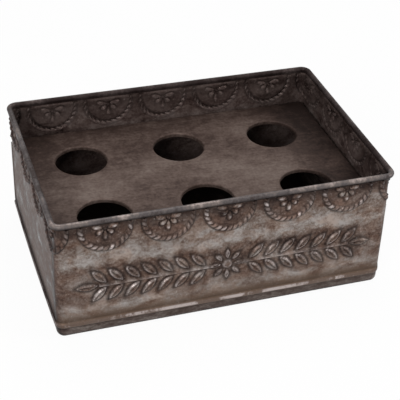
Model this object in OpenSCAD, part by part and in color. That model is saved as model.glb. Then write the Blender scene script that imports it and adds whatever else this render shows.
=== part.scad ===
// Egg storage tin: an open box of embossed sheet metal with a lift-out plate that has six holes.
// Millimetres, +Z up. The origin is the middle of the underside; the long front faces -Y.

/* [Box] */
// Width across the outside of the side walls
box_w = 269; // [240:1:320]
// Depth across the outside of the front and back walls
box_d = 181; // [160:1:220]
// Height from the table to the top of the rolled rim
box_h = 108; // [95:1:130]
// Thickness of the wall sheet
sheet_t = 0.6; // [0.5:0.1:0.7]
// Outside radius of the upright bends at the corners
corner_r = 6.5; // [6.5:0.5:9]
// Width of the tab that laps behind the next wall
lap_w = 9; // [6:1:14]

/* [Rolled rim] */
// Diameter of the wire inside the rim
wire_d = 3.2; // [2.8:0.1:3.6]

/* [Hem at the foot of the walls] */
// Height of the foot of the walls above the table
hem_z = 10.2; // [8:0.1:14]
// Height of the hem itself
hem_h = 5.2; // [3:0.1:7]
// How far the hem stands out of the wall
hem_out = 1.4; // [0.8:0.1:1.8]

/* [Base pan] */
// Height of the pan's edge, which stands up inside the walls
pan_h = 20; // [17:1:30]
// How far the pan's skirt, under the foot of the walls, stays behind their faces
pan_inset = 0.2; // [0.1:0.1:0.3]
// Thickness of the pan's sheet
pan_t = 0.7; // [0.5:0.1:0.9]
// Gap between the pan's edge and the walls round it
pan_gap = 0.25; // [0.2:0.05:0.4]
// Outside radius of the bend round the pan's floor
pan_bend = 6; // [3:0.1:6.1]

/* [Lift-out plate] */
// Height of the plate's top face above the table
plate_z = 74.5; // [60:0.5:78]
// Thickness of the plate
plate_t = 0.8; // [0.6:0.1:1]
// Depth of the plate's turned-down edge
plate_edge = 7; // [5:0.5:10]
// Gap between the plate and the walls
plate_gap = 2; // [1.9:0.1:3]
// Diameter of a hole
egg_hole_d = 43; // [38:0.5:46]
// Depth of the turned-down lip round a hole
egg_lip = 3.3; // [2:0.1:5]
// Distance between holes along the box
egg_pitch_x = 84.5; // [70:0.5:86]
// Distance between the two rows of holes
egg_pitch_y = 80.5; // [60:0.5:84]

/* [Rests under the plate] */
// Length of a rest along the wall
rest_w = 14; // [8:1:20]
// How far a rest reaches in from the wall
rest_reach = 8; // [6:0.5:10]
// Height of a rest's upright leaf
rest_leaf = 12; // [8:1:16]
// Thickness of a rest
rest_t = 0.8; // [0.6:0.1:1]
// Distance of a rest from the middle of its side wall
rest_y = 60; // [40:1:74]

/* [Swag border] */
// Distance between swags on the sheet with the front and left walls
front_pitch = 48; // [47.5:0.1:48.9]
// Distance between swags on the sheet with the back and right walls
back_pitch = 48.9; // [47.5:0.1:48.9]
// Height of the centre of a swag's arc on the front and left walls
front_swag_z = 99.7; // [97:0.1:100]
// Height of the centre of a swag's arc on the back and right walls
back_swag_z = 98.1; // [97:0.1:100]
// Radius to the middle of the rope on the front and left walls
front_swag_r = 18.9; // [18:0.1:20]
// Radius to the middle of the rope on the back and right walls
back_swag_r = 20; // [18:0.1:20]
// Width of the rope
rope_w = 4; // [3:0.1:4.4]
// How far the rope and the petals stand out of the wall
relief = 1.6; // [0.8:0.1:1.8]
// Length of a petal
petal_l = 8; // [6:0.5:9]
// Width of a petal
petal_w = 3.4; // [2:0.1:4]

/* [Leaf garland] */
// Height of the garland's stem
garland_z = 47; // [40:0.5:52]
// Pairs of leaves on each side of the rosette
leaf_pairs = 7; // [4:1:7]
// Distance between pairs of leaves
leaf_pitch = 13; // [12:0.5:15]
// Length of a leaf
leaf_l = 17.5; // [12:0.5:19]
// Width of a leaf
leaf_w = 6.4; // [4:0.1:7]
// Angle between a leaf and the stem
leaf_angle = 47; // [35:1:55]
// Length of the rosette's petals
rosette_l = 9.5; // [8:0.5:12]

/* [Hidden] */
$fn = 64;
curl_r = wire_d / 2 + 0.05 + sheet_t;
curl_root = curl_r - sheet_t + 0.25;
rim_z = box_h - curl_r;
half_w = box_w / 2;
half_d = box_d / 2;
straight_w = half_w - corner_r;
straight_d = half_d - corner_r;
mid_sheet = sheet_t / 2;
hem_r = (hem_h * hem_h / 4 + hem_out * hem_out) / (2 * hem_out);
hem_lift = 0.3;
plate_bend = 1.4;
pan_r = corner_r - sheet_t - pan_gap;
skirt_r = corner_r - pan_inset;
ledge_z = hem_z - 0.1;
plate_r = corner_r - sheet_t - plate_gap;
rest_z = plate_z - plate_edge;
lap_top = box_h - 2 * curl_r - 0.3;
seam_r = 0.7;
seam_foot = hem_z + hem_h + 0.5;
seam_top = min(front_swag_z - front_swag_r, back_swag_z - back_swag_r) - rope_w / 2 - 2;
quarter_bend = PI * corner_r / 2;
rope_rise = 8.5;
root_drop = 1.2;
spray_start = 2.6;
spray_step = 50;
bend_beads = 7;
leaf_first = 17;
leaf_start = 0.8;
stem_r = 1.1;
rosette_w = 4;
boss_r = 4.2;
boss_h = 1.8;
skin = "#6f625c";

// Sweeps a section once round one corner. The section's X runs outward from the bend's centre.
module corner_sweep(sx, sy) {
    turn = sx > 0 ? (sy > 0 ? 0 : 270) : (sy > 0 ? 90 : 180);
    translate([sx * straight_w, sy * straight_d, 0])
        rotate([0, 0, turn])
            rotate_extrude(angle = 90) children();
}

// Sweeps a section along one straight wall: the front is 0, then right, back and left.
module straight_sweep(side) {
    along = side % 2 == 0 ? straight_w : straight_d;
    reach = side % 2 == 0 ? straight_d : straight_w;
    rotate([0, 0, 90 * side - 90])
        translate([reach, along, 0])
            rotate([90, 0, 0])
                linear_extrude(2 * along) children();
}

// Wall from its hem up, with the curl round the wire on top.
module wall_section() {
    translate([corner_r - sheet_t, hem_z])
        square([sheet_t, rim_z - curl_root - hem_z]);
    intersection() {
        translate([corner_r + hem_out - hem_r, hem_z + hem_lift + hem_h / 2]) circle(hem_r);
        translate([corner_r - mid_sheet, hem_z]) square([2 * hem_out, 2 * hem_h]);
    }
    translate([corner_r, rim_z])
        difference() {
            circle(curl_r);
            circle(curl_r - sheet_t);
        }
}

// Tab past the corner at +X, -Y, joggled in by the sheet's thickness so that it lies behind the next wall.
module lap_tab() {
    joggle = 1.5;
    foot = pan_h + 1;
    translate([half_w - 2 * sheet_t, -straight_d, foot]) {
        translate([0, -joggle, 0])
            cube([sheet_t * 1.4, joggle, lap_top - foot]);
        cube([sheet_t, lap_w, lap_top - foot]);
    }
}

// Section of the rope: X runs across it and Y out of the wall.
module rope_section() {
    intersection() {
        translate([0, relief - rope_w / 2]) circle(rope_w / 2);
        translate([-rope_w, -mid_sheet]) square([2 * rope_w, rope_w]);
    }
}

// Rope of one swag, between two angles counted from its left end at the level of its centre.
module rope(from, to) {
    rotate([90, 0, 0])
        rotate([0, 0, 180 + from])
            rotate_extrude(angle = to - from)
                translate([$swag_r, 0]) rope_section();
}

// Pointed leaf or petal along +X from the origin, standing on the wall from the middle of the sheet.
module leaf(length, width) {
    bow = (length * length / width + width) / 4;
    translate([length / 2, 0, -mid_sheet])
        linear_extrude(mid_sheet + relief)
            intersection() {
                translate([0, width / 2 - bow]) circle(bow, $fn = 180);
                translate([0, bow - width / 2]) circle(bow, $fn = 180);
            }
}

// Fan of petals under the rim, in the middle of a swag; one that a bend cuts off has only the first three.
module spray(last) {
    translate([0, 0, -root_drop])
        rotate([90, 0, 0])
            for (i = [-2 : last])
                rotate([0, 0, 270 + i * spray_step])
                    translate([spray_start, 0]) leaf(petal_l, petal_w);
}

// One swag, whole or cut off where its wall ends. The rope's ends rise a little past the centre's level.
module swag(x, from = -rope_rise, to = 180 + rope_rise) {
    translate([x, 0, $swag_z]) {
        rope(from, to);
        spray(to > 180 ? 2 : 0);
    }
}

// How far round its arc the rope has come at a distance from the middle of a long wall, for one
// sheet's $swag_r.
function rope_angle(pitch, along) = acos(min(1, max(-1, (3 * pitch - along) / $swag_r)));

// Five whole swags on a long wall, and the start of the next one before each bend.
module long_swags(pitch) {
    for (k = [-2 : 2]) {
        swag(k * pitch);
    }
    for (side = [0, 1]) {
        mirror([side, 0, 0])
            translate([3 * pitch, 0, $swag_z]) rope(-rope_rise, rope_angle(pitch, straight_w));
    }
}

// Swags on a side wall, seen from outside, counted on from the long wall at its right.
module side_swags(pitch) {
    first = straight_w + quarter_bend + straight_d - 3 * pitch;
    last = first - 3 * pitch;
    swag(first, to = 180 - rope_angle(pitch, straight_w + quarter_bend));
    swag(first - pitch);
    swag(first - 2 * pitch);
    swag(last, from = acos(min(1, (straight_d + last) / $swag_r)));
}

// Beads that carry the rope round the bend at +X, -Y.
module rope_on_bend(pitch) {
    from = rope_angle(pitch, straight_w);
    to = rope_angle(pitch, straight_w + quarter_bend);
    reach = corner_r - rope_w / 2 + relief;
    translate([straight_w, -straight_d, 0])
        difference() {
            for (i = [1 : bend_beads]) {
                a = from + (to - from) * (i - 0.5) / bend_beads;
                way = (3 * pitch - $swag_r * cos(a) - straight_w) / quarter_bend * 90 - 90;
                translate([reach * cos(way), reach * sin(way), $swag_z - $swag_r * sin(a)])
                    sphere(rope_w / 2, $fn = 32);
            }
            cylinder(r = corner_r - mid_sheet / 2, h = box_h);
        }
}

// One L of sheet: a long wall, the short wall to its left, both bends of the long wall, and the tab.
// $swag_z and $swag_r say how high its swags' arcs are centred, and how wide they are.
module wall_sheet(pitch) {
    straight_sweep(0) wall_section();
    straight_sweep(3) wall_section();
    corner_sweep(-1, -1) wall_section();
    corner_sweep(1, -1) wall_section();
    lap_tab();
    translate([0, -half_d, 0]) long_swags(pitch);
    translate([-half_w, 0, 0]) rotate([0, 0, -90]) side_swags(pitch);
    rope_on_bend(pitch);
    mirror([1, 0, 0]) rope_on_bend(pitch);
}

// Half of the garland: leaves in pairs along the stem, and one leaf to end it.
module leafy_stem() {
    first = leaf_first - leaf_pitch / 2;
    last = leaf_first + (leaf_pairs - 0.5) * leaf_pitch;
    translate([first, -stem_r, -mid_sheet])
        cube([last - first, 2 * stem_r, mid_sheet + relief]);
    for (i = [0 : leaf_pairs - 1], up = [-1, 1])
        translate([leaf_first + i * leaf_pitch, up * stem_r])
            rotate([0, 0, up * leaf_angle])
                translate([leaf_start, 0]) leaf(leaf_l, leaf_w);
    translate([last + leaf_start, 0]) leaf(leaf_l, leaf_w);
}

module rosette() {
    ball = (boss_r * boss_r / boss_h + boss_h) / 2;
    for (a = [0 : 45 : 315])
        rotate([0, 0, a])
            translate([boss_r + leaf_start, 0]) leaf(rosette_l, rosette_w);
    intersection() {
        translate([0, 0, boss_h - ball]) sphere(ball);
        translate([0, 0, -mid_sheet]) cylinder(r = 2 * boss_r, h = 2 * boss_h);
    }
}

// Garland with a rosette in the middle of the front.
module garland() {
    translate([0, 0, garland_z])
        rotate([90, 0, 0]) {
            rosette();
            leafy_stem();
            mirror([1, 0, 0]) leafy_stem();
        }
}

module front_left_wall() {
    color(skin) {
        wall_sheet(front_pitch, $swag_z = front_swag_z, $swag_r = front_swag_r);
        translate([0, -half_d, 0]) garland();
    }
}

module back_right_wall() {
    color("#645953")
        rotate([0, 0, 180]) wall_sheet(back_pitch, $swag_z = back_swag_z, $swag_r = back_swag_r);
}

// Sweeps a section all the way round the box.
module all_round() {
    for (side = [0 : 3]) {
        straight_sweep(side) children();
    }
    for (sx = [-1, 1], sy = [-1, 1]) {
        corner_sweep(sx, sy) children();
    }
}

module rim_wire() {
    color("#8b8a8c")
        all_round()
            translate([corner_r, rim_z]) circle(wire_d / 2);
}

// Quarter of a ring, in the corner below and to the right of its centre.
module quarter_ring(outer, thick) {
    intersection() {
        difference() {
            circle(outer);
            circle(outer - thick);
        }
        translate([0, -outer]) square(outer);
    }
}

// The pan's floor near the edge, the bend, the skirt, the ledge under the walls and the upright edge.
module pan_section() {
    square([skirt_r - pan_bend, pan_t]);
    translate([skirt_r - pan_bend, pan_bend]) quarter_ring(pan_bend, pan_t);
    translate([skirt_r - pan_t, pan_bend]) square([pan_t, ledge_z - pan_bend]);
    translate([pan_r - pan_t, ledge_z - pan_t]) square([skirt_r - pan_r + pan_t, pan_t]);
    translate([pan_r - pan_t, ledge_z - pan_t]) square([pan_t, pan_h - ledge_z + pan_t]);
}

module base_pan() {
    color("#4d4440") {
        translate([-straight_w, -straight_d, 0])
            cube([2 * straight_w, 2 * straight_d, pan_t]);
        all_round() pan_section();
    }
}

// The plate near the edge, the bend and the turned-down edge.
module plate_section() {
    translate([0, plate_z - plate_t])
        square([plate_r - plate_bend, plate_t]);
    translate([plate_r - plate_bend, plate_z - plate_bend])
        mirror([0, 1]) quarter_ring(plate_bend, plate_t);
    translate([plate_r - plate_t, plate_z - plate_edge])
        square([plate_t, plate_edge - plate_bend]);
}

// Puts something at each of the six holes.
module at_holes() {
    for (i = [-1 : 1], j = [-0.5, 0.5])
        translate([i * egg_pitch_x, j * egg_pitch_y, 0]) children();
}

module egg_plate() {
    hole_r = egg_hole_d / 2;
    color("#584e49")
        difference() {
            union() {
                translate([-straight_w, -straight_d, plate_z - plate_t])
                    cube([2 * straight_w, 2 * straight_d, plate_t]);
                all_round() plate_section();
                at_holes()
                    translate([0, 0, plate_z - egg_lip])
                        cylinder(r = hole_r + plate_t, h = egg_lip - plate_t / 2);
            }
            at_holes()
                translate([0, 0, plate_z - egg_lip - 1]) cylinder(r = hole_r, h = egg_lip + 2);
        }
}

// Angle bracket inside a side wall: side is -1 on the left and 1 on the right.
module rest(side, y) {
    inner = half_w - sheet_t;
    color("#5c534f")
        translate([side * inner, y, rest_z])
            rotate([0, 0, side > 0 ? 180 : 0])
                union() {
                    translate([0, -rest_w / 2, -rest_leaf]) cube([rest_t, rest_w, rest_leaf]);
                    translate([0, -rest_w / 2, -rest_t]) cube([rest_reach, rest_w, rest_t]);
                }
}

module rest_left_front() {
    rest(-1, -rest_y);
}

module rest_left_back() {
    rest(-1, rest_y);
}

module rest_right_front() {
    rest(1, -rest_y);
}

module rest_right_back() {
    rest(1, rest_y);
}

// Run of solder over the edge of a lapped sheet, outside the box.
module seam() {
    translate([half_w, -straight_d, seam_foot])
        linear_extrude(seam_top - seam_foot)
            intersection() {
                circle(seam_r);
                translate([0, -1]) square([1, 2]);
            }
}

module seam_front_right() {
    color("#a29d99") seam();
}

module seam_back_left() {
    color("#a29d99") rotate([0, 0, 180]) seam();
}

front_left_wall();
back_right_wall();
rim_wire();
base_pan();
egg_plate();
rest_left_front();
rest_left_back();
rest_right_front();
rest_right_back();
seam_front_right();
seam_back_left();
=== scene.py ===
import math

import bmesh
import bpy
from mathutils import Matrix, Vector, noise


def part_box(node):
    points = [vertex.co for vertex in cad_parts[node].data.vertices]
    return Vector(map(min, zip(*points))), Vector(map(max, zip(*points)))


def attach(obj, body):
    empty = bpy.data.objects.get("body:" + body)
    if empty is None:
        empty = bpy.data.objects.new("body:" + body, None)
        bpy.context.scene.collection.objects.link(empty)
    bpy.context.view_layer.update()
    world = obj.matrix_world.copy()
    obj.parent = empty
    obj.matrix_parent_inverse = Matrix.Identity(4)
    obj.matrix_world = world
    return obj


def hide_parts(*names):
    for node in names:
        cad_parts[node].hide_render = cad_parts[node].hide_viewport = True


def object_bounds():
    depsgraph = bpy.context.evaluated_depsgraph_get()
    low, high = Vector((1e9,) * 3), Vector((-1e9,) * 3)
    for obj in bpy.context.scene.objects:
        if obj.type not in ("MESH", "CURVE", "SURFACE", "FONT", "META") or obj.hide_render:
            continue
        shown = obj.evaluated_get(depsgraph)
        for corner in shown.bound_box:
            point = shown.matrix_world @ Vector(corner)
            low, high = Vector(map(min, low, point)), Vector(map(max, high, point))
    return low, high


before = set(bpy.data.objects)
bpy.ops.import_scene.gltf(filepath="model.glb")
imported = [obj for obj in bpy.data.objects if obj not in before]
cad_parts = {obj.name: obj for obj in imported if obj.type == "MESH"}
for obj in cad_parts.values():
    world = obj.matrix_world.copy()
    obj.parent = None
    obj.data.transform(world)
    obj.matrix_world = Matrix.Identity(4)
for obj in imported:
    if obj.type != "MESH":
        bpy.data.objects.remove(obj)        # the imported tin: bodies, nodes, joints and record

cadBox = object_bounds()
mm = 0.001
print("frame loaded")


class Wire:  # one socket of a node tree, which reads as a number in sums
    def __init__(self, maker, socket):
        self.maker = maker
        self.socket = socket

    def __add__(self, other):
        return self.maker.maths("ADD", self, other)

    __radd__ = __add__

    def __sub__(self, other):
        return self.maker.maths("SUBTRACT", self, other)

    def __rsub__(self, other):
        return self.maker.maths("SUBTRACT", other, self)

    def __mul__(self, other):
        return self.maker.maths("MULTIPLY", self, other)

    __rmul__ = __mul__

    def __truediv__(self, other):
        return self.maker.maths("DIVIDE", self, other)

    def __rtruediv__(self, other):
        return self.maker.maths("DIVIDE", other, self)

    def __pow__(self, other):
        return self.maker.maths("POWER", self, other)

    def __neg__(self):
        return self * -1

    def __abs__(self):
        return self.maker.maths("ABSOLUTE", self)


class NodeMaker:  # adds nodes to one tree, for geometry and for materials alike
    def __init__(self, tree):
        self.tree = tree

    def node(self, kind, settings=None, feeds=None, output=0):
        made = self.tree.nodes.new(kind)
        for name, value in (settings or {}).items():
            if name == "stops":
                self.setStops(made.color_ramp, value)
            else:
                setattr(made, name, value)
        for key, value in (feeds or {}).items():
            if isinstance(value, Wire):
                self.tree.links.new(value.socket, made.inputs[key])
            else:
                made.inputs[key].default_value = value
        return Wire(self, made.outputs[output])

    def finish(self, wire, kind):  # the tree's last node takes the wire
        self.tree.links.new(wire.socket, self.tree.nodes.new(kind).inputs[0])

    def setStops(self, ramp, stops):
        while len(ramp.elements) < len(stops):
            ramp.elements.new(0.5)
        for element, (place, colour) in zip(ramp.elements, stops):
            element.position = place
            element.color = (*colour, 1)

    def maths(self, operation, *values):
        return self.node("ShaderNodeMath", {"operation": operation}, dict(enumerate(values)))

    def sine(self, value):
        return self.maths("SINE", value)

    def cosine(self, value):
        return self.maths("COSINE", value)

    def root(self, value):
        return self.maths("SQRT", self.larger(value, 0))

    def larger(self, a, b):
        return self.maths("MAXIMUM", a, b)

    def smaller(self, a, b):
        return self.maths("MINIMUM", a, b)

    def between(self, value, low, high):
        return self.smaller(self.larger(value, low), high)

    def nearest(self, value):
        return self.maths("ROUND", value)

    def reach(self, x, y):  # distance from the origin
        return self.root(x * x + y * y)

    def straight(self, value, low, high, start=0.0, end=1.0):
        return self.node("ShaderNodeMapRange", {"clamp": True},
                         {0: value, 1: low, 2: high, 3: start, 4: end})

    def fade(self, value, low, high, start=0.0, end=1.0):
        return self.node("ShaderNodeMapRange", {"interpolation_type": "SMOOTHSTEP"},
                         {0: value, 1: low, 2: high, 3: start, 4: end})

    def hump(self, value, width):  # 1 at nought, falling off over the width
        return self.maths("EXPONENT", -(value / width) * (value / width))

    def vector(self, x, y, z):
        return self.node("ShaderNodeCombineXYZ", feeds={0: x, 1: y, 2: z})

    def part(self, vector, axis):
        return self.node("ShaderNodeSeparateXYZ", feeds={0: vector}, output="XYZ".index(axis))

    def scaled(self, vector, x, y, z):
        return self.node("ShaderNodeVectorMath", {"operation": "MULTIPLY"}, {0: vector, 1: (x, y, z)})

    def speckle(self, where, scale, detail=3.0, rough=0.55, twist=0.0, output=0):
        return self.node("ShaderNodeTexNoise", {"noise_dimensions": "3D"},
                         {"Vector": where, "Scale": scale, "Detail": detail,
                          "Roughness": rough, "Distortion": twist}, output)

    def mix(self, share, a, b, blend="MIX"):  # two colours
        return self.node("ShaderNodeMix", {"data_type": "RGBA", "blend_type": blend, "clamp_factor": True},
                         {0: share, 6: a, 7: b}, output=2)


# Sizes of the tin in millimetres, as the construction has them
tin = {
    "sheet": 0.6, "bend": 6.5, "curl": 2.25, "neck": 3.5, "foot": 10.2, "lap": 9.0, "lapFoot": 21.0,
    "hem": 5.2, "hemLift": 0.3, "hemOut": 1.4, "hemFlat": 0.35, "lean": 0.6, "bow": 0.8,
}
tin["halfWidth"] = cadBox[1].x / mm - tin["curl"]
tin["halfDepth"] = cadBox[1].y / mm - tin["curl"]
tin["rim"] = cadBox[1].z / mm - tin["curl"]
tin["wire"] = tin["curl"] - tin["sheet"]
tin["straightWidth"] = tin["halfWidth"] - tin["bend"]
tin["straightDepth"] = tin["halfDepth"] - tin["bend"]
tin["quarter"] = math.pi / 2 * tin["bend"]
tin["corner"] = tin["straightWidth"] + tin["quarter"]
tin["halfRound"] = 2 * (tin["corner"] + tin["straightDepth"])
tin["hemMiddle"] = tin["foot"] + tin["hemLift"] + tin["hem"] / 2
tin["hemBow"] = (tin["hem"] ** 2 / 4 + tin["hemOut"] ** 2) / (2 * tin["hemOut"])

# The swags under the rim
border = {
    "front": {"Pitch": 48.0, "Centre": 99.7, "Radius": 18.9},
    "back": {"Pitch": 48.9, "Centre": 98.1, "Radius": 20.0},
    "rope": 4.0, "strands": 13, "slant": 0.34, "groove": 0.6, "relief": 1.95, "onBends": 0.5, "dish": 0.6,
    "rootDrop": 1.2, "petalFrom": 1.6, "petal": 9.0, "shorter": 2.4, "petalWidth": 4.2,
    "petalTurn": math.radians(52), "top": 102.6,
}

# The leaf garland on the front
garland = {
    "centre": 47.0, "stem": 1.1, "first": 17.0, "pitch": 13.0, "pairs": 7, "lift": 0.8,
    "leaf": 17.5, "leafWidth": 6.6, "angle": math.radians(47), "vein": 0.7, "bevel": 1.5, "band": 19.0,
    "petal": 9.5, "petalWidth": 4.0, "boss": 4.2, "bossHeight": 1.8,
}


def leafShape(g, along, across, length, width):  # height, dark foot and worn edge of one pointed leaf; the foot is wash with painted shade, the edge a worn edge with a painted highlight on one side
    share = g.between(along / length, 0, 1)
    half = share * (1 - share) * (2 * width)
    inset = half - abs(across)
    inside = g.straight(along, 0, 0.01) * g.straight(length - along, 0, 0.01)
    height = g.fade(inset, 0, garland["bevel"]) * inside
    vein = g.hump(across, 0.5) * g.fade(half, 1.0, 2.0) * garland["vein"]
    beyond = abs(along - length / 2) - length / 2
    # the dark foot round the leaf: wash with painted shade
    foot = g.fade(g.reach(g.larger(-inset, 0), g.larger(beyond, 0)), 0.0, 3.4, 0.85, 0)
    # painted highlight: the worn edge is brighter on one side of the leaf
    edge = g.hump(inset - garland["bevel"] * 0.75, 0.45) * inside * g.fade(across, -0.8, 1.2, 1, 0.35)
    return g.larger(height - vein, 0), g.larger(foot * (1 - height), vein * 1.1), edge


def swagRelief(g, s, z, pitch, centre, radius):  # height, dark creases with painted shade, worn tops with painted glints and brown hollows
    rope = border["rope"]
    across = g.maths("WRAP", s, pitch / 2, pitch * -0.5)
    drop = centre - z
    below = g.larger(drop, 0)
    far = g.reach(across, below)
    under = g.fade(z, border["top"] - 0.8, border["top"] + 0.2, 1, 0)

    turn = g.maths("ARCTAN2", below, -across)  # 0 at the left end, pi at the right
    side = g.maths("SIGN", across)
    along = turn * radius + side * g.larger(-drop, 0)
    off = (far - radius) / (rope / 2)
    twist = along / radius * border["strands"] + off * (border["slant"] * math.pi)
    crest = abs(g.sine(twist)) ** 0.75
    bulge = g.root(1 - off * off)
    ropeHeight = bulge * (1 - border["groove"] + border["groove"] * crest) * border["relief"]
    strand = g.nearest(twist / math.pi - 0.5)
    luck = g.speckle(g.vector(strand * 0.83, g.nearest(s / pitch) * 4.7, 2.2), 1.0, 0)
    # painted highlight: glints a little stronger towards each swag's left side
    luck = luck - across / radius * 0.07
    ropeWearAndGlints = g.fade(bulge * crest, 0.4, 0.9) * g.fade(luck, 0.42, 0.72, 0.10, 1)

    inner = radius - rope / 2
    dish = g.root(1 - (far / inner) * (far / inner)) * border["dish"]

    rootDrop = drop - border["rootDrop"]
    ray = g.maths("ARCTAN2", abs(across), rootDrop)  # 0 straight down
    petalNumber = g.between(g.nearest(ray / border["petalTurn"]), 0, 2)
    swing = ray - petalNumber * border["petalTurn"]
    out = g.reach(across, rootDrop)
    length = border["petal"] - (1 - abs(petalNumber - 1)) * border["shorter"]
    middle = (out * g.cosine(swing) - border["petalFrom"]) / (length / 2) - 1
    half = (border["petalWidth"] / 2) * (0.9 + middle * 0.32)
    petalAcross = out * g.sine(swing) / half
    blunt = g.reach(middle, petalAcross)
    petal = g.root(1 - blunt * blunt)
    bud = g.root(1 - (out / 1.8) * (out / 1.8))
    petalHeight = g.larger(petal * border["relief"], bud * 1.1)

    height = g.larger(ropeHeight, petalHeight) - dish
    # Dark creases: wash in the rope's grooves and round its outline, with painted shadow below the rope,
    # painted shade round the petals and painted shade darkening towards the rim
    outline = g.fade(abs(far - radius), rope / 2, rope / 2 + 1.9, 0.95, 0) * g.fade(bulge, 0.35, 0.75, 1, 0)
    outline = outline * g.fade(off, -0.9, 0.9, 0.6, 1)
    groove = g.fade(bulge, 0.2, 0.5) * g.fade(crest, 0.3, 0.8, 0.85, 0)
    petalShade = g.fade(blunt, 0.85, 1.8, 1, 0) * g.fade(petal, 0.25, 0.6, 1, 0) * g.fade(z, 86, 95, 0.7, 1.1)
    field = g.fade(far, radius, radius + rope / 2, 1, 0)
    creases = g.larger(g.larger(outline, groove), g.larger(petalShade, g.fade(z, 89, 101.5, 0, 0.72)))
    creases = creases * (1 - g.fade(petal, 0.3, 0.7) * 0.7)
    spandrel = g.fade(far, radius, radius + rope / 2) * g.fade(z, 82, 98)
    petalWearAndGlints = g.hump(middle - 0.35, 0.4) * g.fade(petal, 0.7, 0.98)
    wear = g.larger(ropeWearAndGlints, petalWearAndGlints) * g.fade(z, 100.5, 102, 1, 0)
    return height * under, creases, wear, g.larger(field, spandrel * 0.8) * (1 - g.fade(petal, 0.3, 0.7))


def garlandRelief(g, s, z):
    ax = abs(s)
    up = abs(z - garland["centre"])
    off = up - garland["stem"]
    cosine, sine = math.cos(garland["angle"]), math.sin(garland["angle"])
    pick = g.nearest((ax - off * (cosine / sine) - garland["first"]) / garland["pitch"])
    foot = g.between(pick, 0, garland["pairs"] - 1) * garland["pitch"] + garland["first"]
    dx = ax - foot
    along = dx * cosine + off * sine - garland["lift"]
    across = off * cosine - dx * sine
    leaf, leafHalo, leafEdge = leafShape(g, along, across, garland["leaf"], garland["leafWidth"])

    last = garland["first"] + (garland["pairs"] - 0.5) * garland["pitch"]
    beyond = ax - last - garland["lift"]
    tip, tipHalo, tipEdge = leafShape(g, beyond, up, garland["leaf"], garland["leafWidth"])
    stemOff = up / garland["stem"]
    stemStart = garland["first"] - garland["pitch"] / 2
    stemRun = g.straight(ax, stemStart, stemStart + 0.5) * g.straight(ax, last, last + 0.5, 1, 0)
    stem = g.root(1 - stemOff * stemOff) * stemRun

    ray = g.maths("ARCTAN2", up, ax)
    fold = math.pi / 4
    swing = ray - g.nearest(ray / fold) * fold
    out = g.reach(ax, up)
    petal, petalHalo, petalEdge = leafShape(g, out * g.cosine(swing) - garland["boss"] - garland["lift"],
                                            out * g.sine(swing), garland["petal"], garland["petalWidth"])
    dome = g.root(1 - (out / garland["boss"]) * (out / garland["boss"]))
    # the dark ring round the boss: wash with painted shade
    bossHalo = g.fade(out, garland["boss"] - 0.3, garland["boss"] + 1.6, 0.9, 0) * (1 - dome)

    height = g.larger(g.larger(leaf, tip), g.larger(stem, petal)) * border["relief"]
    height = g.larger(height, dome * garland["bossHeight"])
    halo = g.larger(g.larger(leafHalo, tipHalo), g.larger(petalHalo, bossHalo))
    wear = g.larger(g.larger(leafEdge, tipEdge), g.larger(petalEdge, stem * stem * 0.4))
    wear = g.larger(wear, g.hump(dome - 0.7, 0.2))
    hollows = g.fade(up, garland["band"] - 4, garland["band"], 0.45, 0) * g.fade(height, 0.4, 1.2, 1, 0.35)
    return height, halo, wear, hollows


def roundTheTin(g, s, out):  # place on the plan, `out` beyond the wall's outer face
    ax = abs(s)
    side = g.maths("SIGN", s)
    turn = g.straight(ax, tin["straightWidth"], tin["corner"], 0, math.pi / 2)
    flat = g.smaller(ax, tin["straightWidth"])
    back = g.larger(ax - tin["corner"], 0)
    x = side * (flat + g.sine(turn) * (out + tin["bend"]))
    y = back - tin["straightDepth"] - g.cosine(turn) * (out + tin["bend"])
    return x, y


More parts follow.
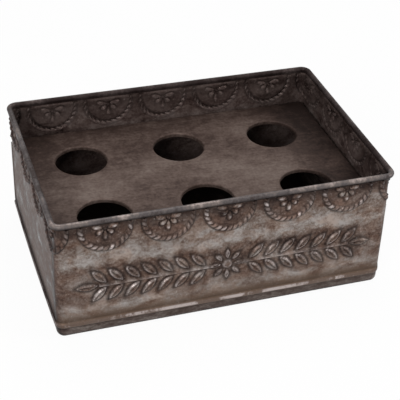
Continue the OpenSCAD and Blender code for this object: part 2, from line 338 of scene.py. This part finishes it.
def pressedSheetTree():
    tree = bpy.data.node_groups.new("pressedSheet", "GeometryNodeTree")
    tree.is_modifier = True
    tree.interface.new_socket("Geometry", in_out="INPUT", socket_type="NodeSocketGeometry")
    tree.interface.new_socket("Geometry", in_out="OUTPUT", socket_type="NodeSocketGeometry")
    kinds = {
        "Columns": "NodeSocketInt", "Rows": "NodeSocketInt", "From": "NodeSocketFloat",
        "To": "NodeSocketFloat", "Foot": "NodeSocketFloat", "Inset": "NodeSocketFloat",
        "Pitch": "NodeSocketFloat", "Centre": "NodeSocketFloat", "Radius": "NodeSocketFloat",
        "Pressed": "NodeSocketFloat", "Garland": "NodeSocketFloat", "Turn": "NodeSocketFloat",
        "Dents": "NodeSocketFloat", "Seed": "NodeSocketFloat", "Material": "NodeSocketMaterial",
    }
    for zone in range(1, 7):
        kinds[f"Top {zone}"] = "NodeSocketFloat"
        kinds[f"Share {zone}"] = "NodeSocketFloat"
    for name, kind in kinds.items():
        tree.interface.new_socket(name, in_out="INPUT", socket_type=kind)
    g = NodeMaker(tree)
    entry = tree.nodes.new("NodeGroupInput")
    given = {name: Wire(g, entry.outputs[name]) for name in kinds}

    grid = g.node("GeometryNodeMeshGrid", feeds={
        "Size X": 1.0, "Size Y": 1.0, "Vertices X": given["Columns"], "Vertices Y": given["Rows"]})
    place = g.node("GeometryNodeInputPosition")
    s = (g.part(place, "X") + 0.5) * (given["To"] - given["From"]) + given["From"]
    row = g.part(place, "Y") + 0.5
    v, low, start = given["Foot"], given["Foot"], 0.0
    for zone in range(1, 7):  # rows lie closer where the relief is
        v = g.straight(row, start, given[f"Share {zone}"], 0, given[f"Top {zone}"] - low) + v
        low, start = given[f"Top {zone}"], given[f"Share {zone}"]

    swag, swagCreasesAndShade, swagWearAndGlints, swagHollows = swagRelief(
        g, s, v, given["Pitch"], given["Centre"], given["Radius"])
    leaves, leafCreasesAndShade, leafWearAndGlints, leafHollows = garlandRelief(g, s, v)
    fromHem = v - tin["hemMiddle"]
    hem = g.larger(g.root(tin["hemBow"] ** 2 - fromHem * fromHem) - (tin["hemBow"] - tin["hemOut"]), 0)
    hem = hem * g.fade(s, tin["straightWidth"] - 6, tin["corner"], 1, tin["hemFlat"])
    onBend = g.fade(abs(s), tin["straightWidth"] - 1.5, tin["straightWidth"] + 2.5)
    onBend = onBend * g.fade(abs(s), tin["corner"] - 2.5, tin["corner"] + 1.5, 1, 0)
    raised = g.larger(swag * (1 - onBend * (1 - border["onBends"])), g.larger(leaves * given["Garland"], hem))
    relief = (raised + g.smaller(swag, 0)) * given["Pressed"]
    hemTop = tin["foot"] + tin["hem"]
    # hemLine: a dark line just above the hem bead, wash with painted shade, and painted shadow along the
    # bead's lower edge
    hemLine = g.hump(v - hemTop - 1.1, 0.9) * 0.4
    hemLine = g.larger(hemLine, g.fade(v, tin["foot"] + 0.4, tin["foot"] + 1.6, 1, 0))
    bendHollow = onBend * g.fade(v, 78, 84)
    kept = {
        "creases": g.larger(g.larger(swagCreasesAndShade, leafCreasesAndShade * given["Garland"]), hemLine),
        "wear": g.larger(swagWearAndGlints * (1 - onBend * 0.8), leafWearAndGlints * given["Garland"]),
        "hollows": g.larger(g.larger(swagHollows, bendHollow), leafHollows * given["Garland"]),
    }

    drift = given["Seed"] * 37.0
    spot = g.vector(s + drift, v, given["Seed"])
    broad = g.speckle(spot, 0.016, 1.0) - 0.5
    close = g.speckle(spot, 0.07, 2.0) - 0.5
    calm = g.fade(v, 15, 30) * g.fade(v, 94, 101, 1, 0)
    dents = (broad * 1.6 + close * 0.35) * calm * given["Dents"]

    curlTurn = g.larger(v - tin["rim"], 0) / tin["wire"]
    settle = g.fade(v, tin["rim"] - tin["neck"], tin["rim"], 0, -tin["wire"])
    lean = g.fade(v, 45, 100) * tin["lean"] * g.fade(v, 101, tin["rim"], 1, 0)
    alongSide = (abs(s) - tin["corner"] - tin["straightDepth"]) / tin["straightDepth"]
    bow = g.larger(1 - alongSide * alongSide, 0) * g.fade(v, 10, 60, tin["bow"], 0)
    out = (1 - g.cosine(curlTurn)) * tin["wire"] + settle + relief + dents + bow - lean - given["Inset"]
    height = g.smaller(v, tin["rim"]) + g.sine(curlTurn) * tin["wire"]
    x, y = roundTheTin(g, s, out)
    facing = 1 - 2 * given["Turn"]
    where = g.node("ShaderNodeVectorMath", {"operation": "SCALE"},
                   {0: g.vector(x * facing, y * facing, height), "Scale": mm})

    unrolled = g.vector(s + given["Turn"] * tin["halfRound"], v, relief)
    sheet = g.node("GeometryNodeStoreNamedAttribute", {"data_type": "FLOAT_VECTOR", "domain": "POINT"},
                   {"Geometry": grid, "Name": "unrolled", "Value": unrolled})
    for name, value in kept.items():
        sheet = g.node("GeometryNodeStoreNamedAttribute", {"data_type": "FLOAT", "domain": "POINT"},
                       {"Geometry": sheet, "Name": name, "Value": value})
    pressed = g.node("GeometryNodeSetPosition", feeds={"Geometry": sheet, "Position": where})
    smooth = g.node("GeometryNodeSetShadeSmooth", feeds={"Geometry": pressed, "Shade Smooth": True})
    whole = g.node("GeometryNodeRealizeInstances", feeds={"Geometry": smooth})
    coated = g.node("GeometryNodeSetMaterial", feeds={"Geometry": whole, "Material": given["Material"]})
    g.finish(coated, "NodeGroupOutput")
    return tree


def setInputs(modifier, values):
    for item in modifier.node_group.interface.items_tree:
        if item.item_type == "SOCKET" and item.in_out == "INPUT" and item.name in values:
            modifier[item.identifier] = values[item.name]


def asPlainMesh(piece):  # the evaluated result in place of the modifiers
    bpy.context.view_layer.update()
    graph = bpy.context.evaluated_depsgraph_get()
    shaped = piece.evaluated_get(graph)
    mesh = bpy.data.meshes.new_from_object(shaped, preserve_all_data_layers=True, depsgraph=graph)
    piece.modifiers.clear()
    piece.data = mesh
    return mesh


def setMaterials(mesh, materials, sideFaces=0):  # Solidify makes the inner side after the outer
    mesh.materials.clear()
    for material in materials:
        mesh.materials.append(material)
    for number, face in enumerate(mesh.polygons):
        face.material_index = int(sideFaces <= number < 2 * sideFaces)


def newPiece(name, mesh=None):
    piece = bpy.data.objects.new(name, mesh or bpy.data.meshes.new(name))
    bpy.context.scene.collection.objects.link(piece)
    return piece


# How finely the sheets are drawn: rows up to each height, then round the curl
sheets = {
    "plainRows": [(17.0, 12), (75.0, 12), (102.9, 46), ("curl", 16)],
    "garlandRows": [(17.0, 12), (31.0, 4), (63.0, 34), (77.5, 4), (102.9, 42), ("curl", 16)],
    "tabRows": [(75.0, 12), (102.9, 46)],
    "plainWidth": 0.62, "garlandWidth": 0.71, "curlAngle": math.radians(272), "dents": 0.3,
}


def pressSheet(tree, name, fromS, toS, rows, materials, **more):
    curlTop = tin["rim"] + sheets["curlAngle"] * tin["wire"]
    total = sum(count for top, count in rows)
    width = sheets["garlandWidth" if more.get("Garland") else "plainWidth"]
    values = {"Columns": int((toS - fromS) / width) + 2, "Rows": total + 1, "From": fromS, "To": toS,
              "Foot": tin["foot"], "Pressed": 1.0, "Dents": sheets["dents"], "Material": materials[0]}
    done = 0
    for zone in range(6):
        if zone < len(rows):
            top, count = rows[zone]
            done += count
        values[f"Top {zone + 1}"] = curlTop if top == "curl" else top
        values[f"Share {zone + 1}"] = done / total
    piece = newPiece(name)
    modifier = piece.modifiers.new("press", "NODES")
    modifier.node_group = tree
    setInputs(modifier, values | more)
    solid = piece.modifiers.new("thickness", "SOLIDIFY")
    solid.thickness = tin["sheet"] * mm
    solid.offset = -1
    setMaterials(asPlainMesh(piece), materials, (values["Columns"] - 1) * total)
    return piece


def joined(name, parts, materials):
    mesh = bpy.data.meshes.new(name)
    work = bmesh.new()
    for part in parts:
        work.from_mesh(part.data)
        bpy.data.objects.remove(part)
    work.to_mesh(mesh)
    work.free()
    for material in materials:
        mesh.materials.append(material)
    mesh.set_sharp_from_angle(angle=math.radians(75))
    return newPiece(name, mesh)


def wallSheet(tree, names, node, materials, swags, turn, hasGarland):  # one L of sheet, in two pieces
    cut = -3.5 * swags["Pitch"]  # halfway between two swags of the side wall
    given = swags | {"Turn": turn, "Seed": 1.0 + turn}
    rows = sheets["garlandRows" if hasGarland else "plainRows"]
    end = -tin["corner"] - 2 * tin["straightDepth"]
    side = pressSheet(tree, "side", end, cut, sheets["plainRows"], materials, **given)
    long = pressSheet(tree, "long", cut, tin["corner"], rows, materials, Garland=hasGarland, **given)
    tab = pressSheet(tree, "tab", tin["corner"], tin["corner"] + tin["lap"], sheets["tabRows"], materials,
                     **given | {"Inset": tin["sheet"], "Foot": tin["lapFoot"], "Pressed": 0.0})
    for name, parts in zip(names, ([side], [long, tab])):
        piece = joined(name, parts, materials)
        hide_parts(node)
        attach(piece, "box")
        print(name, len(piece.data.polygons), "faces")


# The lift-out plate, in millimetres
plate = {
    "top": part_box("egg_plate")[1].z / mm, "bottom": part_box("egg_plate")[0].z / mm, "sheet": 0.8,
    "halfWidth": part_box("egg_plate")[1].x / mm, "halfDepth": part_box("egg_plate")[1].y / mm,
    "hole": 21.5, "pitchX": 84.5, "pitchY": 80.5, "lip": 3.3, "flare": 1.3, "bend": 1.4, "corner": 3.9,
    "sideSteps": 22, "rings": 12, "wave": 0.35,
}


def holeCell():  # one egg hole with its lip and the square of plate round it
    work = bmesh.new()
    halfX, halfY, steps = plate["pitchX"] / 2, plate["pitchY"] / 2, plate["sideSteps"]
    ticks = [2 * i / steps - 1 for i in range(steps)]
    edge = [(t, -1) for t in ticks] + [(1, t) for t in ticks]
    edge += [(-t, 1) for t in ticks] + [(-1, -t) for t in ticks]
    hole, flare = plate["hole"], plate["flare"]
    rings = []
    for ux, uy in edge:
        x, y = ux * halfX, uy * halfY
        far = math.hypot(x, y)
        cx, cy = x / far, y / far
        column = [(cx * hole, cy * hole, -plate["lip"]), (cx * hole, cy * hole, -(plate["lip"] + flare) / 2)]
        for k in range(6):
            a = math.pi / 2 * k / 5
            r = hole + flare * (1 - math.cos(a))
            column.append((cx * r, cy * r, -flare * (1 - math.sin(a))))
        first = hole + flare
        for k in range(1, plate["rings"] + 1):
            share = (k / plate["rings"]) ** 1.25
            r = first + (far - first) * share
            column.append((cx * r, cy * r, 0.0))
        rings.append([work.verts.new(Vector(p) * mm) for p in column])
    for i, column in enumerate(rings):
        following = rings[(i + 1) % len(rings)]
        for a, b, c, d in zip(column, column[1:], following[1:], following):
            work.faces.new((a, b, c, d))
    mesh = bpy.data.meshes.new("holeCell")
    work.to_mesh(mesh)
    work.free()
    return mesh


def holesTree():
    tree = bpy.data.node_groups.new("eggHoles", "GeometryNodeTree")
    tree.is_modifier = True
    tree.interface.new_socket("Geometry", in_out="INPUT", socket_type="NodeSocketGeometry")
    tree.interface.new_socket("Geometry", in_out="OUTPUT", socket_type="NodeSocketGeometry")
    kinds = {"Pitch X": "NodeSocketFloat", "Pitch Y": "NodeSocketFloat", "Reach X": "NodeSocketFloat",
             "Reach Y": "NodeSocketFloat", "Material": "NodeSocketMaterial"}
    for name, kind in kinds.items():
        tree.interface.new_socket(name, in_out="INPUT", socket_type=kind)
    g = NodeMaker(tree)
    entry = tree.nodes.new("NodeGroupInput")
    cell = Wire(g, entry.outputs[0])
    given = {name: Wire(g, entry.outputs[name]) for name in kinds}
    spots = g.node("GeometryNodeMeshGrid", feeds={
        "Size X": given["Pitch X"] * 2, "Size Y": given["Pitch Y"], "Vertices X": 3, "Vertices Y": 2})
    placed = g.node("GeometryNodeInstanceOnPoints", feeds={"Points": spots, "Instance": cell})
    whole = g.node("GeometryNodeRealizeInstances", feeds={"Geometry": placed})
    sealed = g.node("GeometryNodeMergeByDistance", feeds={"Geometry": whole, "Distance": 0.01 * mm})
    place = g.node("GeometryNodeInputPosition")
    x, y, z = (g.part(place, axis) for axis in "XYZ")
    outX = g.straight(abs(x), given["Pitch X"] * 1.4995, given["Pitch X"] * 1.4999)
    outY = g.straight(abs(y), given["Pitch Y"] * 0.9995, given["Pitch Y"] * 0.9999)
    stretchX = x * (1 + outX * (given["Reach X"] / (given["Pitch X"] * 1.5) - 1))
    stretchY = y * (1 + outY * (given["Reach Y"] / given["Pitch Y"] - 1))
    where = g.vector(stretchX, stretchY, z)
    reached = g.node("GeometryNodeSetPosition", feeds={"Geometry": sealed, "Position": where})
    coated = g.node("GeometryNodeSetMaterial", feeds={"Geometry": reached, "Material": given["Material"]})
    g.finish(coated, "NodeGroupOutput")
    return tree


def turnDownEdge(work, reachX, reachY):  # bends the plate's rim down all round
    bend = plate["bend"]
    flat = plate["corner"] - bend
    section = [(flat * 0.5, 0.0), (flat, 0.0)]
    section += [(flat + bend * math.sin(a), bend * (math.cos(a) - 1)) for a in
                (math.pi / 2 * k / 5 for k in range(1, 6))]
    drop = plate["bottom"] - plate["top"]
    section += [(plate["corner"], drop + 2), (plate["corner"], drop)]
    rim = [v for v in work.verts if v.is_boundary and abs(v.co.z) < 0.001 * mm]
    rim.sort(key=lambda v: math.atan2(v.co.y / reachY, v.co.x / reachX))
    stations = []
    for v in rim:
        onX = abs(abs(v.co.x) - reachX) < 0.01 * mm
        onY = abs(abs(v.co.y) - reachY) < 0.01 * mm
        ways = []
        if onX:
            ways.append(math.atan2(0, v.co.x))
        if onY:
            ways.append(math.atan2(v.co.y, 0))
        if len(ways) == 2:
            start = min(ways) if abs(ways[0] - ways[1]) < math.pi else max(ways)
            ways = [start + math.pi / 2 * k / 6 for k in range(7)]
        stations += [(v, way) for way in ways]
    columns = []
    for v, way in stations:
        side = Vector((math.cos(way), math.sin(way), 0))
        steps = [side * out * mm + Vector((0, 0, down * mm)) for out, down in section]
        columns.append([v] + [work.verts.new(v.co + step) for step in steps])
    for i, column in enumerate(columns):
        following = columns[(i + 1) % len(columns)]
        for k in range(len(section)):
            corners = [column[k], column[k + 1], following[k + 1], following[k]]
            if corners[0] is corners[3]:
                corners.pop()
            work.faces.new(corners)


def eggPlate(material):
    reachX = plate["halfWidth"] - plate["corner"]
    reachY = plate["halfDepth"] - plate["corner"]
    piece = newPiece("eggPlate", holeCell())
    modifier = piece.modifiers.new("holes", "NODES")
    modifier.node_group = holesTree()
    setInputs(modifier, {"Pitch X": plate["pitchX"] * mm, "Pitch Y": plate["pitchY"] * mm,
                         "Reach X": reachX * mm, "Reach Y": reachY * mm, "Material": material})
    mesh = asPlainMesh(piece)
    work = bmesh.new()
    work.from_mesh(mesh)
    turnDownEdge(work, reachX * mm, reachY * mm)
    bmesh.ops.recalc_face_normals(work, faces=work.faces)
    if sum(f.normal.z * f.calc_area() for f in work.faces) < 0:
        bmesh.ops.reverse_faces(work, faces=work.faces)
    for v in work.verts:
        x, y = v.co.x / mm, v.co.y / mm
        wave = noise.noise(Vector((x / 52, y / 47, 3.1))) + 0.35 * noise.noise(Vector((x / 17, y / 19, 8.4)))
        v.co.z += (plate["top"] - 0.02 + min(wave, 0.0) * plate["wave"]) * mm
    for face in work.faces:
        face.smooth = True
    work.to_mesh(mesh)
    work.free()
    solid = piece.modifiers.new("thickness", "SOLIDIFY")
    solid.thickness = plate["sheet"] * mm
    solid.offset = -1
    setMaterials(asPlainMesh(piece), [material])
    piece.data.set_sharp_from_angle(angle=math.radians(60))
    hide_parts("egg_plate")
    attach(piece, "plate")
    print("eggPlate", len(piece.data.polygons), "faces")


# Finishes. Tones run from the dark wash, which also serves as painted shade, to the bright worn metal, which
# also serves as painted glints, in linear light.
finishes = {
    "outside": {
        "deep": (0.009, 0.0055, 0.005), "brown": (0.105, 0.070, 0.055), "grey": (0.190, 0.156, 0.135),
        "pale": (0.330, 0.305, 0.285), "wornAndGlint": (0.60, 0.53, 0.515), "foot": (0.125, 0.083, 0.059),
        "rust": [(0.040, 0.025, 0.021), (0.190, 0.130, 0.105)],
        "warm": (1.0, 0.885, 0.83), "cool": (0.985, 0.98, 0.995), "sideSheenTint": (0.965, 0.965, 1.04),
        "sideShade": -0.14, "underRimShade": 1.0, "creases": 1.0, "metal": 0.45, "rough": 0.42, "bump": 0.35,
    },
    "inside": {
        "deep": (0.014, 0.009, 0.008), "brown": (0.068, 0.045, 0.040), "grey": (0.105, 0.076, 0.068),
        "pale": (0.160, 0.126, 0.116), "wornAndGlint": (0.43, 0.36, 0.34), "foot": (0.068, 0.045, 0.040),
        "rust": [(0.050, 0.033, 0.030), (0.125, 0.094, 0.085)],
        "warm": (1.0, 0.90, 0.82), "cool": (1.0, 0.93, 0.93), "sideSheenTint": (1.0, 1.0, 1.0),
        "sideShade": 0.0, "underRimShade": 0.3, "creases": 0.7, "metal": 0.45, "rough": 0.42, "bump": 0.35,
    },
    "plate": {
        "deep": (0.022, 0.014, 0.012), "brown": (0.064, 0.042, 0.035), "grey": (0.118, 0.084, 0.071),
        "pale": (0.190, 0.149, 0.130), "metal": 0.35, "rough": 0.55, "bump": 0.2,
        "drawn": (0.2, 1.0, 1.0), "streaks": 0.3,
        # the plate darkens to the right and back: painted shade, with grime at the edges
        "grimeAndShade": [("X", 0.070, 0.125, 0.30), ("X", -0.070, -0.130, 0.12), ("Y", 0.015, 0.088, 0.20)],
    },
    "pan": {
        "deep": (0.020, 0.014, 0.012), "brown": (0.062, 0.043, 0.037), "grey": (0.100, 0.078, 0.069),
        "pale": (0.175, 0.150, 0.135), "metal": 0.4, "rough": 0.46, "bump": 0.25,
        "drawn": (0.35, 0.35, 1.0), "streaks": 0.9,
        # the pan darkens at its bottom edge and just under the hem, painted shade, and at its left end
        "grimeAndShade": [("X", -0.122, -0.1335, 0.25), ("Z", 0.0055, 0.0005, 0.5), ("Z", 0.0075, 0.0095, 0.08)],
    },
    "wire": {
        "deep": (0.14, 0.12, 0.11), "brown": (0.24, 0.21, 0.19), "grey": (0.32, 0.30, 0.29),
        "pale": (0.40, 0.39, 0.38), "metal": 0.8, "rough": 0.40, "bump": 0.10,
        "drawn": (0.1, 1.0, 1.0), "streaks": 0.5, "grimeAndShade": [],
    },
    "solder": {
        "deep": (0.03, 0.024, 0.021), "brown": (0.070, 0.056, 0.050), "grey": (0.115, 0.100, 0.092),
        "pale": (0.20, 0.185, 0.175), "metal": 0.4, "rough": 0.5, "bump": 0.3,
        "drawn": (1.0, 1.0, 0.3), "streaks": 0.5, "grimeAndShade": [],
    },
}
sheen = 0.1  # every finish is waxed dull
toneStops = (0.12, 0.38, 0.54, 0.76)
rimStops = (0.34, 0.50, 0.60, 0.74)
rims = {  # tones along the rolled rim, from dark to bright; the far tones are a darker copy for the back and right sheet's inside, painted shade
    "near": [(0.045, 0.034, 0.031), (0.105, 0.092, 0.092), (0.150, 0.124, 0.114), (0.34, 0.28, 0.26)],
    "far": [(0.024, 0.016, 0.015), (0.050, 0.037, 0.035), (0.082, 0.062, 0.058), (0.15, 0.12, 0.11)],
}
# How light the front is at each height, by hundreds of millimetres
heights = [(0.10, 0.44), (0.17, 0.42), (0.26, 0.68), (0.38, 0.46),
           (0.62, 0.38), (0.69, 0.80), (0.80, 0.58), (1.0, 0.30)]


def colour(rgb):
    return (*rgb, 1)


def startMaterial(name):
    material = bpy.data.materials.new(name)
    material.use_nodes = True
    material.node_tree.nodes.clear()
    return material, NodeMaker(material.node_tree)


def endMaterial(material, m, look, ground, rough, height):
    bump = m.node("ShaderNodeBump", feeds={"Strength": look["bump"], "Distance": 0.0006, "Height": height})
    shader = m.node("ShaderNodeBsdfPrincipled", feeds={
        "Base Color": ground, "Roughness": m.between(rough, 0.2, 0.9), "Metallic": look["metal"],
        "Specular IOR Level": sheen, "Normal": bump})
    m.finish(shader, "ShaderNodeOutputMaterial")
    return material


def toneRamp(m, look, tone):
    tones = [look[name] for name in ("deep", "brown", "grey", "pale")]
    return m.node("ShaderNodeValToRGB", {"stops": list(zip(toneStops, tones))}, {0: tone})


def sheetPatina(name, look, rim):  # patterns follow the flat sheet, in millimetres
    material, m = startMaterial(name)
    spot = m.node("ShaderNodeAttribute", {"attribute_name": "unrolled"}, output=1)
    creases, wear, hollows = (m.node("ShaderNodeAttribute", {"attribute_name": kind}, output=2)
                              for kind in ("creases", "wear", "hollows"))
    s, v = m.part(spot, "X"), m.part(spot, "Y")
    front = m.fade(abs(s), tin["straightWidth"], tin["corner"] + 4, 1, 0.1)
    broad = m.speckle(m.scaled(spot, 0.040, 0.062, 0.1), 1.0, 3, 0.55, 0.8) - 0.5
    blotch = m.speckle(m.scaled(spot, 0.13, 0.15, 0.2), 1.0, 3, 0.6, 0.6) - 0.5
    fine = m.speckle(spot, 0.45, 3, 0.65) - 0.5
    grain = m.speckle(spot, 1.3, 2, 0.5) - 0.5
    greys = [(at, (light, light, light)) for at, light in heights]
    level = m.node("ShaderNodeValToRGB", {"stops": greys}, {0: v / 100})
    calm = m.fade(v, 28, 48, 0.65, 1)
    tone = 0.5 + broad * 0.9 + (blotch * 0.5 + fine * 0.6) * calm + grain * 0.3 + (level - 0.5) * 0.5 * front
    # painted shade: the side walls are darker than the front, with more mottling
    tone = tone + (1 - front) * (look["sideShade"] + blotch * 0.2 - broad * 0.1)
    tone = tone - m.hump(abs(s) - tin["corner"] - 1, 4) * 0.2
    ground = toneRamp(m, look, tone)
    hue = m.fade(m.speckle(m.vector(s / 15, v / 11, 6.3), 1.0, 2, 0.5, 0.8), 0.36, 0.62)
    tint = m.mix(hue, colour(look["warm"]), colour(look["cool"]))
    rust = m.mix(m.straight(tone, 0.25, 0.75), *(colour(end) for end in look["rust"]))
    ground = m.mix(m.between(hollows * (0.75 + blotch * 1.5), 0, 0.9), ground, rust)
    # painted sheen: the side walls take a cooler tint in place of the random hue
    ground = m.mix(1.0, ground, m.mix(front, colour(look["sideSheenTint"]), tint), "MULTIPLY")
    ground = m.mix(m.fade(v, 16, 26, 0.85, 0) * (1 + blotch * 2) * front, ground, colour(look["foot"]))

    # painted shadow: a dark band just under the rolled rim, weaker inside
    under = m.fade(v, tin["rim"] - 4.6, tin["rim"] - 3.4) * look["underRimShade"]
    creases = creases * m.fade(v, 99, 102, 1, look["underRimShade"])
    creases = m.larger(creases * look["creases"], under) * (0.9 + blotch * 1.2)
    ground = m.mix(m.between(creases, 0, 0.96), ground, colour(look["deep"]))
    # worn tops with painted glints: the bright tone goes on raised crests and the hem bead, varied in
    # strength
    catch = m.fade(m.speckle(m.vector(s / 9, v / 9, 2.6), 1.0, 2, 0.5), 0.40, 0.62, 0.25, 1)
    ends = m.fade(abs(s), 98, 124, 1, 0.45)
    rubbedAndGlints = wear * catch * ends * m.fade(fine, -0.14, 0.08, 0.45, 1)
    chips = m.fade(fine + grain, 0.22, 0.34) * 0.3
    rubbedAndGlints = m.larger(rubbedAndGlints, chips)

    onHem = m.fade(abs(v - tin["hemMiddle"] - 0.5), 0.7, 1.8, 1, 0)
    patchy = m.speckle(m.vector(s / 16, 0.4, 9.0), 1.0, 3, 0.55)
    ground = m.mix(onHem * 0.6, ground, colour(look["brown"]))
    # painted shade: the side walls darken towards the bottom
    ground = m.mix(m.fade(v, 15, 27, 1, 0) * (1 - front) * 0.9, ground, colour(look["deep"]))
    rubbedAndGlints = m.larger(rubbedAndGlints, onHem * m.fade(patchy + fine * 0.4, 0.42, 0.60, 0.06, 0.76) * ends)
    ground = m.mix(rubbedAndGlints * 0.85, ground, colour(look["wornAndGlint"]))

    onRim = m.fade(v, tin["rim"] - 2.6, tin["rim"] - 1.6)
    curl = v - tin["rim"]  # length round the curl: its top is at 2.6 mm and its outermost line at 5.2 mm
    bands = m.speckle(m.vector(s / 26, 0.2, 5.0), 1.0, 3, 0.55) - 0.5
    # the bands are the rim's own tones; off the front the rim is darker, painted shade, and along the curl's
    # top lighter, painted highlight
    shine = 0.52 + bands * 0.95 + fine * 0.45 + (front - 1) * 0.13 + m.hump(curl - 2.9, 0.9) * 0.1
    steel = m.node("ShaderNodeValToRGB", {"stops": list(zip(rimStops, rim))}, {0: shine})
    # painted shade: the curl's underside, past its outermost line, takes the darkest tone
    steel = m.mix(m.fade(curl, 4.6, 6.4), steel, colour(look["deep"]))
    ground = m.mix(onRim, ground, steel)
    dull = (m.fade(v, 12, 30, 0.45, 0.12) + blotch * 0.4 + broad * 1.3) * (1 - front)
    rough = look["rough"] + blotch * 0.3 + fine * 0.15 + dull - rubbedAndGlints * 0.12
    return endMaterial(material, m, look, ground, rough, fine * 0.7 + grain * 0.3 + blotch * 0.6)


def plainPatina(name, look):  # patterns in the piece's own place, in metres
    material, m = startMaterial(name)
    here = m.node("ShaderNodeTexCoord", output=3)
    mottled = m.speckle(here, 70, 4, 0.6, 0.6) - 0.5
    cloudy = m.speckle(m.scaled(here, 0.6, 1, 1), 16, 3, 0.5, 0.4) - 0.5
    streaks = m.speckle(m.scaled(here, *look["drawn"]), 330, 3, 0.65) - 0.5
    fine = m.speckle(here, 420, 3, 0.6) - 0.5
    tone = 0.55 + cloudy * 0.7 + mottled * 0.5 + streaks * look["streaks"] + fine * 0.4
    # darker towards given sides and heights: grime and painted shade
    for axis, fadeStart, fadeEnd, amount in look["grimeAndShade"]:
        tone = tone - m.fade(m.part(here, axis), fadeStart, fadeEnd) * amount
    rough = look["rough"] + mottled * 0.3 + fine * 0.12
    height = fine * 0.5 + streaks * 0.5 + mottled * 0.6
    return endMaterial(material, m, look, toneRamp(m, look, tone), rough, height)


def dress(node, material):
    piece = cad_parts[node]
    piece.data.materials.clear()
    piece.data.materials.append(material)


outside = sheetPatina("outsidePatina", finishes["outside"], rims["near"])
insideNear = sheetPatina("insideNearPatina", finishes["inside"], rims["near"])
# the back and right sheet's inside: the same finish with the darker far rim tones, painted shade
insideFarShaded = sheetPatina("insideFarShadedPatina", finishes["inside"], rims["far"])
platePatina = plainPatina("platePatina", finishes["plate"])
panPatina = plainPatina("panPatina", finishes["pan"])
wirePatina = plainPatina("wirePatina", finishes["wire"])
solderPatina = plainPatina("solderPatina", finishes["solder"])
print("finishes made")

sheetTree = pressedSheetTree()
wallSheet(sheetTree, ("leftWall", "frontWall"), "front_left_wall", (outside, insideNear),
          border["front"], 0.0, 1.0)
wallSheet(sheetTree, ("rightWall", "backWall"), "back_right_wall", (outside, insideFarShaded),
          border["back"], 1.0, 0.0)
eggPlate(platePatina)
dress("base_pan", panPatina)
dress("rim_wire", wirePatina)
for end in ("left_front", "left_back", "right_front", "right_back"):
    dress("rest_" + end, platePatina)
for seam in ("seam_front_right", "seam_back_left"):
    dress(seam, solderPatina)
print("pieces made")

# Studio: pale floor, white surround, big soft lamps, and the camera where the photograph was taken from
studio = {
    "floor": 6.0, "floorColour": 0.93, "surround": 0.4,
    "lamps": [((-1.0, -1.3, 1.0), 0.6, 15.0), ((1.4, -0.7, 0.8), 0.6, 9.0), ((0.1, 0.5, 1.9), 1.0, 9.0)],
}
view = {"yaw": 0.33509, "pitch": 0.60327, "roll": 0.04119, "distance": 951.036, "slide": 6.869, "rise": 0.999,
        "aim": 45.0, "focal": 1135.93, "pixels": 400}


def seenDirectly(m):  # by the camera, in metal and through glass
    kinds = ("Is Camera Ray", "Is Glossy Ray", "Is Transmission Ray")
    camera, glossy, through = (m.node("ShaderNodeLightPath", output=kind) for kind in kinds)
    return m.larger(m.larger(camera, glossy), through)


def makeFloor():
    half = studio["floor"] / 2
    mesh = bpy.data.meshes.new("floor")
    corners = [(-half, -half, 0), (half, -half, 0), (half, half, 0), (-half, half, 0)]
    mesh.from_pydata(corners, [], [(0, 1, 2, 3)])
    material, m = startMaterial("floorPaint")
    shade = studio["floorColour"]
    matt = m.node("ShaderNodeBsdfDiffuse", feeds={"Color": (shade, shade, shade, 1)})
    glow = m.node("ShaderNodeEmission", feeds={"Color": (1, 1, 1, 1), "Strength": 1.0})
    both = m.node("ShaderNodeMixShader", feeds={0: seenDirectly(m) * 0.95, 1: matt, 2: glow})
    m.finish(both, "ShaderNodeOutputMaterial")
    mesh.materials.append(material)
    floor = newPiece("floor", mesh)


def makeSurround():
    world = bpy.data.worlds.new("surround")
    bpy.context.scene.world = world
    world.use_nodes = True
    world.node_tree.nodes.clear()
    m = NodeMaker(world.node_tree)
    glow = m.node("ShaderNodeBackground", feeds={
        "Color": (1, 1, 1, 1), "Strength": seenDirectly(m) * (1 - studio["surround"]) + studio["surround"]})
    m.finish(glow, "ShaderNodeOutputWorld")


def makeLamps():
    for number, (place, size, power) in enumerate(studio["lamps"]):
        lamp = bpy.data.lights.new(f"softbox{number}", "AREA")
        lamp.shape = "SQUARE"
        lamp.size = size
        lamp.energy = power
        holder = bpy.data.objects.new(lamp.name, lamp)
        holder.location = place
        holder.rotation_euler = (Vector((0, 0, 0.05)) - Vector(place)).to_track_quat("-Z", "Y").to_euler()
        bpy.context.scene.collection.objects.link(holder)


def makeCamera():
    yaw, pitch, roll = view["yaw"], view["pitch"], view["roll"]
    ahead = Vector((math.sin(yaw) * math.cos(pitch), math.cos(yaw) * math.cos(pitch), -math.sin(pitch)))
    right = Vector((math.cos(yaw), -math.sin(yaw), 0))
    up = right.cross(ahead)
    across = right * math.cos(roll) + up * math.sin(roll)
    upright = up * math.cos(roll) - right * math.sin(roll)
    place = Vector((0, 0, view["aim"])) - ahead * view["distance"]
    place = place + across * view["slide"] + upright * view["rise"]
    lens = bpy.data.cameras.new("camera")
    lens.sensor_width = 36
    lens.lens = view["focal"] / view["pixels"] * lens.sensor_width
    lens.clip_start = 0.01
    holder = bpy.data.objects.new("camera", lens)
    turned = Matrix((across, upright, -ahead)).transposed().to_4x4()
    holder.matrix_world = Matrix.Translation(place * mm) @ turned
    bpy.context.scene.collection.objects.link(holder)
    bpy.context.scene.camera = holder


makeFloor()
makeSurround()
makeLamps()
makeCamera()
bpy.context.scene.view_settings.view_transform = "Standard"
print("studio made")
